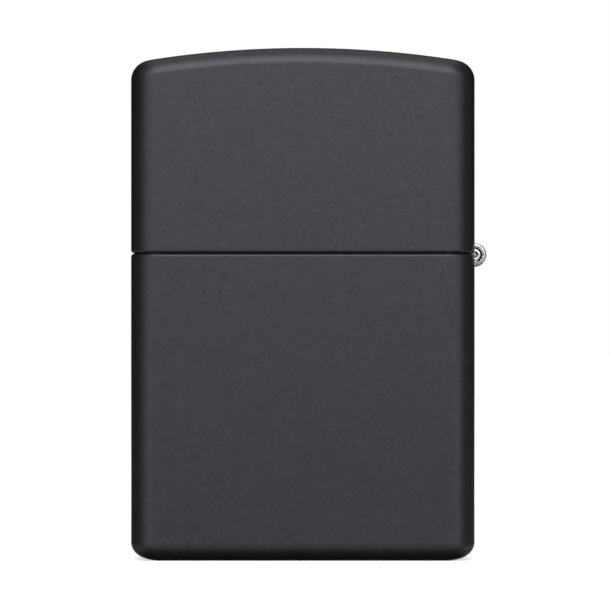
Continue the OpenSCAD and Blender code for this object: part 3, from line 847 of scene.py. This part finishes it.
def build_insert():
    """The insert's sheet metal, its riveted parts and the flint's way up."""
    placed(eased("insert_tin", "insert_case", "steel", 0.06), "insert", "steel", "insert_case")
    placed(eased("insert_deck", "deck_plate", "steel", 0.06), "insert", "steel", "deck_plate")
    placed(eased("insert_chimney", "chimney", "steel", 0.06), "insert", "steel", "chimney")
    placed(flint_wheel(), "wheel", "dark_steel", "flint_wheel")
    wheel_rivet = rivet("wheel_rivet_domed", "wheel_rivet", WHEEL_X, WHEEL_Z, 0.8)
    placed(wheel_rivet, "insert", "nickel", "wheel_rivet")
    cam_x, _, cam_z = (c / MM for c in joints["cam_pivot"]["pos_m"])
    cam_rivet = rivet("cam_rivet_domed", "cam_rivet", cam_x, cam_z, 0.7)
    placed(cam_rivet, "insert", "nickel", "cam_rivet")
    placed(eased("cam_eased", "cam", "dark_steel", 0.12), "cam", "dark_steel", "cam")
    spring_rivet = eased("cam_spring_rivet_eased", "cam_spring_rivet", "nickel", 0.05)
    placed(spring_rivet, "insert", "nickel", "cam_spring_rivet")
    placed(eased("flint_tube_eased", "flint_tube", "brass", 0.08), "insert", "brass", "flint_tube")
    placed(eased("flint_screw_eased", "flint_screw", "brass", 0.10), "insert", "brass", "flint_screw")
    placed(flint_rod(), "flint", "ferro", "flint")
    placed(spring_tip(), "flint", "brass", "flint_spring_tip")


def build_springs():
    """The flint spring's coil and the cam spring's strip."""
    coil = flint_spring()
    coil.data.shade_smooth()
    placed(coil, "insert", "dark_steel", "flint_spring")
    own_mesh(coil)
    strip = applied(eased("cam_spring_strip", "cam_spring", "dark_steel", 0.05))
    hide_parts("cam_spring")
    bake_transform(strip)


def build_soft():
    """The wick, the five pieces of packing and the felt under them."""
    woven = wick()
    woven.data.shade_smooth()
    placed(woven, "insert", "wick", "wick")
    for i in range(1, 6):
        node = "packing_%d" % i
        tuft = lumpy("cotton_tuft_%d" % i, node, "cotton", 0.45, 0.28, 2.6)
        placed(tuft, "insert", "cotton", node)
    pad = lumpy("felt_cushion", "felt_pad", "felt", 0.4, 0.10, 4.0)
    placed(pad, "insert", "felt", "felt_pad")


# ---------------------------------------------------------------- studio

def stage_material():
    """Pale floor that glows with painted light: its glow is weaker near the object, where it takes the
    lamps' soft shadow, and stronger further out, where it fades into the surround.
    """
    mat = new_material("floor", (0.86, 0.86, 0.86), 0.0, 0.9)
    nodes, links = mat.node_tree.nodes, mat.node_tree.links
    shader = nodes["Principled BSDF"]
    shader.inputs["Emission Color"].default_value = (1, 1, 1, 1)
    reach = nodes.new("ShaderNodeVectorMath")
    reach.operation = "LENGTH"
    links.new(nodes.new("ShaderNodeTexCoord").outputs["Object"], reach.inputs[0])
    # Painted light: the floor's own glow, from 0.6 near the object up to 1.0 further out.
    painted_glow = nodes.new("ShaderNodeMapRange")
    painted_glow.interpolation_type = "SMOOTHSTEP"
    painted_glow.inputs["From Min"].default_value = 0.03
    painted_glow.inputs["From Max"].default_value = 0.22
    painted_glow.inputs["To Min"].default_value = 0.60
    painted_glow.inputs["To Max"].default_value = 1.0
    links.new(reach.outputs["Value"], painted_glow.inputs["Value"])
    links.new(painted_glow.outputs["Result"], shader.inputs["Emission Strength"])
    tinted(mat, noise_field(mat, 3), (0.84, 0.84, 0.84), (0.88, 0.88, 0.88))
    return mat


def build_stage():
    """A wide floor in a pale surround; neither shows in the coat's reflections."""
    half, drop = 6000, 0.02
    corners = [(-half, -half, 0), (half, -half, 0), (half, half, 0), (-half, half, 0)]
    floor = object_from("floor", corners, [(0, 1, 2, 3)], "coat")
    floor.data.materials[0] = stage_material()
    floor.location.z = -drop * MM
    floor.visible_glossy = False
    floor.visible_diffuse = False
    floor.visible_shadow = False
    world = bpy.data.worlds.new("surround")
    bpy.context.scene.world = world
    world.use_nodes = True
    world.node_tree.nodes["Background"].inputs["Color"].default_value = (1, 1, 1, 1)
    world.node_tree.nodes["Background"].inputs["Strength"].default_value = 1.0
    world.cycles_visibility.glossy = False
    world.cycles_visibility.diffuse = False


MIDDLE = Vector((0, 0, (cad_low.z + cad_high.z) / 2))


LIGHT_DISTANCE = 0.7
# Azimuth and elevation of each light, the width and height that it spans, all in degrees, and its
# radiance. Azimuth 0 is in front (-Y) and 90 is at +X.
LIGHTS = {
    "key": (0, 30, 60, 45, 3.95),
    "brow": (0, 60, 60, 15, 1.85),
    "sky": (0, 82, 60, 30, 0.9),
    "sky_back": (180, 67, 60, 30, 0.85),
    "low": (0, -30, 60, 15, 1.5),
    "wing_left": (-45, 8, 30, 60, 1.5),
    "wing_right": (45, 8, 30, 60, 1.5),
    "side_left": (-68, 8, 15, 60, 0.2),
    "side_right": (98, 8, 15, 60, 0.2),
    "side_low_left": (-90, -30, 40, 25, 0.8),
    "side_low_right": (90, -30, 40, 25, 0.9),
    "back": (180, -14, 24, 20, 4.0),
    "back_left": (-140, -20, 30, 30, 0.25),
    "back_right": (140, -20, 30, 30, 0.45),
}


def softbox(name, azimuth, elevation, wide, tall, radiance):
    """A soft rectangular light aimed at the object."""
    az, el = math.radians(azimuth), math.radians(elevation)
    away = Vector((math.sin(az) * math.cos(el), -math.cos(az) * math.cos(el), math.sin(el)))
    width = 2 * LIGHT_DISTANCE * math.tan(math.radians(wide / 2))
    height = 2 * LIGHT_DISTANCE * math.tan(math.radians(tall / 2))
    light = bpy.data.lights.new(name, "AREA")
    light.shape, light.size, light.size_y = "RECTANGLE", width, height
    light.energy = radiance * math.pi * width * height
    obj = bpy.data.objects.new(name, light)
    obj.location = MIDDLE + away * LIGHT_DISTANCE
    obj.rotation_euler = away.to_track_quat("Z", "Y").to_euler()
    obj.visible_camera = False
    bpy.context.scene.collection.objects.link(obj)
    return obj


def build_lights():
    """A bright panel high in front between two upright ones, a dim sky, and fill for sides and back."""
    for name, light in LIGHTS.items():
        softbox(name, *light)


def build_camera():
    """Level with the case's middle and square to its broad face, from a long way off."""
    camera = bpy.data.cameras.new("camera")
    camera.lens, camera.sensor_width = 300, 36
    # Width that the camera takes in at the case's widest outline, and where it looks, in metres.
    view_width, aim_x, aim_z = 0.06783, 0.00024, 0.02838
    plane_y = -(HALF_D - CORNER) * MM
    obj = bpy.data.objects.new("camera", camera)
    obj.location = (aim_x, plane_y - view_width * camera.lens / camera.sensor_width, aim_z)
    obj.rotation_euler = (math.radians(90), 0, 0)
    bpy.context.scene.collection.objects.link(obj)
    bpy.context.scene.camera = obj


build_case()
build_insert()
build_springs()
build_soft()
build_stage()
build_lights()
build_camera()
bpy.context.scene.view_settings.view_transform = "Standard"
